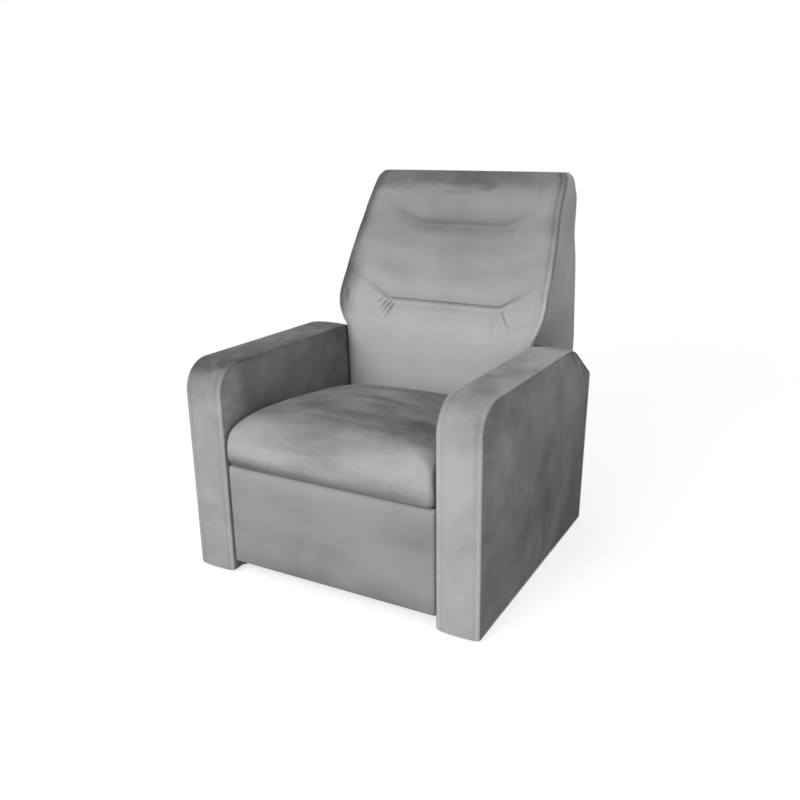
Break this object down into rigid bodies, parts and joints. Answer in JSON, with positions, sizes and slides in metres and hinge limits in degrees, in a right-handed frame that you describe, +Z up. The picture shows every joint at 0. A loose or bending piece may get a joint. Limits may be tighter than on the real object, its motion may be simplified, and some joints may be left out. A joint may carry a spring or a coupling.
{
  "type": "push-back recliner",
  "caption": "Upholstered push-back recliner with track arms, a channelled winged back and a fold-out footrest on a jointed steel linkage.",
  "frame": {"origin": "centre of the overall box on the floor plane", "axes": "+X towards the sitter's left, +Y towards the back, +Z up; the sitter faces -Y"},
  "size_m": [0.8, 0.8992, 0.965],
  "materials": {
    "velvet_arm": "short matte pile",
    "velvet_seat": "short matte pile",
    "velvet_back": "short matte pile",
    "velvet_footrest": "short matte pile",
    "plywood": "raw sanded",
    "pine": "raw planed",
    "steel": "black satin",
    "zinc": "zinc plated",
    "webbing": "woven elastic",
    "nylon": "matte"
  },
  "bodies": {
    "base": {"floor_glides": "nylon", "arm_cover_left": "velvet_arm", "arm_cover_right": "velvet_arm", "arm_frame_left": "pine", "arm_frame_right": "pine", "arm_outer_board_left": "plywood", "arm_outer_board_right": "plywood", "arm_inner_board_left": "plywood", "arm_inner_board_right": "plywood", "front_stretcher": "pine", "rear_stretcher": "pine", "corner_blocks": "pine", "base_plate_left": "steel", "base_plate_right": "steel", "base_bolts": "zinc", "swing_base_pins": "zinc", "recline_pins": "zinc"},
    "rear_swing_links": {"rear_swing_link_left": "steel", "rear_swing_link_right": "steel"},
    "front_swing_links": {"front_swing_link_left": "steel", "front_swing_link_right": "steel"},
    "seat": {"seat_plate_left": "steel", "seat_plate_right": "steel", "seat_plate_pins": "zinc", "seat_plate_screws": "zinc", "seat_side_rail_left": "pine", "seat_side_rail_right": "pine", "seat_front_board": "plywood", "seat_rear_board": "pine", "seat_webbing": "webbing", "seat_cushion": "velvet_seat"},
    "back": {"back_gable_left": "plywood", "back_gable_right": "plywood", "back_rails": "pine", "back_shell": "velvet_back", "back_cushion": "velvet_back", "back_bracket_left": "steel", "back_bracket_right": "steel", "back_bracket_bolts": "zinc", "slot_pins": "zinc"},
    "main_links": {"main_link_left": "steel", "main_link_right": "steel", "main_link_pins": "zinc"},
    "rear_links": {"rear_link_left": "steel", "rear_link_right": "steel", "rear_link_pins": "zinc", "torque_tube": "steel"},
    "long_links": {"long_link_left": "steel", "long_link_right": "steel"},
    "guide_links": {"guide_link_left": "steel", "guide_link_right": "steel"},
    "footrest": {"footrest_bracket_left": "steel", "footrest_bracket_right": "steel", "footrest_bracket_pins": "zinc", "footrest_screws": "zinc", "footrest_board": "plywood", "footrest_pad": "velvet_footrest"}
  },
  "joints": [
    {"name": "back_recline", "type": "hinge", "parent": "base", "child": "back", "pos_m": [0, 0.215, 0.4], "axis": [-1, 0, 0], "range_deg": [0, 30]},
    {"name": "rear_swing", "type": "hinge", "parent": "base", "child": "rear_swing_links", "pos_m": [0, 0.074, 0.15115], "axis": [1, 0, 0], "range_deg": [0, 38.96]},
    {"name": "front_swing", "type": "hinge", "parent": "base", "child": "front_swing_links", "pos_m": [0, -0.222, 0.15115], "axis": [1, 0, 0], "range_deg": [0, 38.96]},
    {"name": "seat_level", "type": "hinge", "parent": "rear_swing_links", "child": "seat", "pos_m": [0, 0.104, 0.236], "axis": [-1, 0, 0], "range_deg": [0, 38.96]},
    {"name": "footrest_open", "type": "hinge", "parent": "seat", "child": "main_links", "pos_m": [0, -0.346, 0.27], "axis": [-1, 0, 0], "range_deg": [0, 86]},
    {"name": "rear_link_turn", "type": "hinge", "parent": "seat", "child": "rear_links", "pos_m": [0, -0.29217, 0.25456], "axis": [-1, 0, 0], "range_deg": [0, 86]},
    {"name": "long_link_turn", "type": "hinge", "parent": "main_links", "child": "long_links", "pos_m": [0, -0.22074, 0.13657], "axis": [1, 0, 0], "range_deg": [0, 86]},
    {"name": "guide_link_turn", "type": "hinge", "parent": "main_links", "child": "guide_links", "pos_m": [0, -0.20194, 0.08809], "axis": [1, 0, 0], "range_deg": [0, 86]},
    {"name": "footrest_turn", "type": "hinge", "parent": "long_links", "child": "footrest", "pos_m": [0, -0.368, 0.268], "axis": [-1, 0, 0], "range_deg": [0, 86]}
  ],
  "couplings": [
    {"joint": "rear_swing", "follows": "back_recline", "ratio": 1.2981},
    {"joint": "front_swing", "follows": "back_recline", "ratio": 1.2981},
    {"joint": "seat_level", "follows": "back_recline", "ratio": 1.2981},
    {"joint": "rear_link_turn", "follows": "footrest_open", "ratio": 1},
    {"joint": "long_link_turn", "follows": "footrest_open", "ratio": 1},
    {"joint": "guide_link_turn", "follows": "footrest_open", "ratio": 1},
    {"joint": "footrest_turn", "follows": "footrest_open", "ratio": 1}
  ]
}
